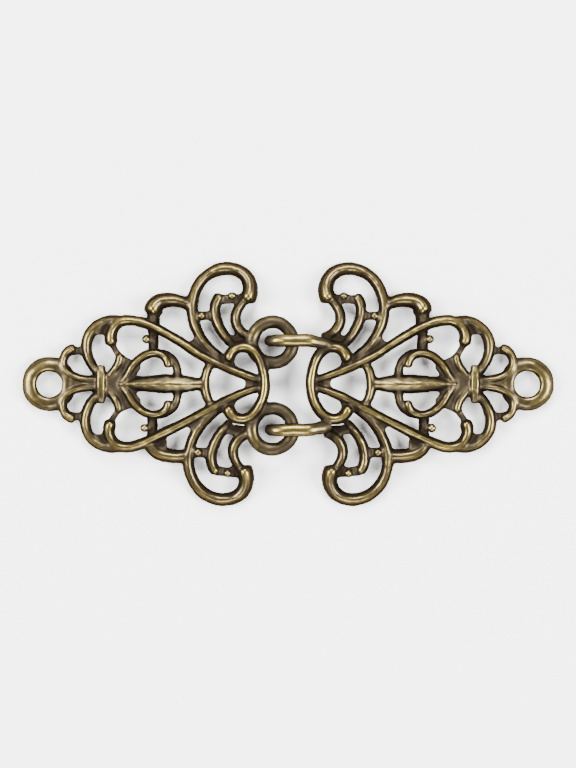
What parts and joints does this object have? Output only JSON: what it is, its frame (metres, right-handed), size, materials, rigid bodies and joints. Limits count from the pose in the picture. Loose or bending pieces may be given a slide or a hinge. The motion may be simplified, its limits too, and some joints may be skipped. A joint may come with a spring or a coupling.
{
  "type": "hook and eye clasp",
  "caption": "Fastened filigree hook and eye clasp for a cape or cardigan: two pierced scrollwork castings with sewing rings, joined by hooks through eyes.",
  "frame": {"origin": "under the middle of the fastened clasp, on the surface that its back lies on", "axes": "+X along the clasp towards the hook half's sewing ring, +Y up the panels, +Z out of the ornamented face"},
  "size_m": [0.065, 0.03, 0.0049],
  "materials": {
    "antique_brass": "antique brass plating over a zinc casting, dark in the recesses and rubbed bright on the high spots"
  },
  "bodies": {
    "root": {"eye_half": "antique_brass", "hook_half": "antique_brass"}
  },
  "joints": []
}
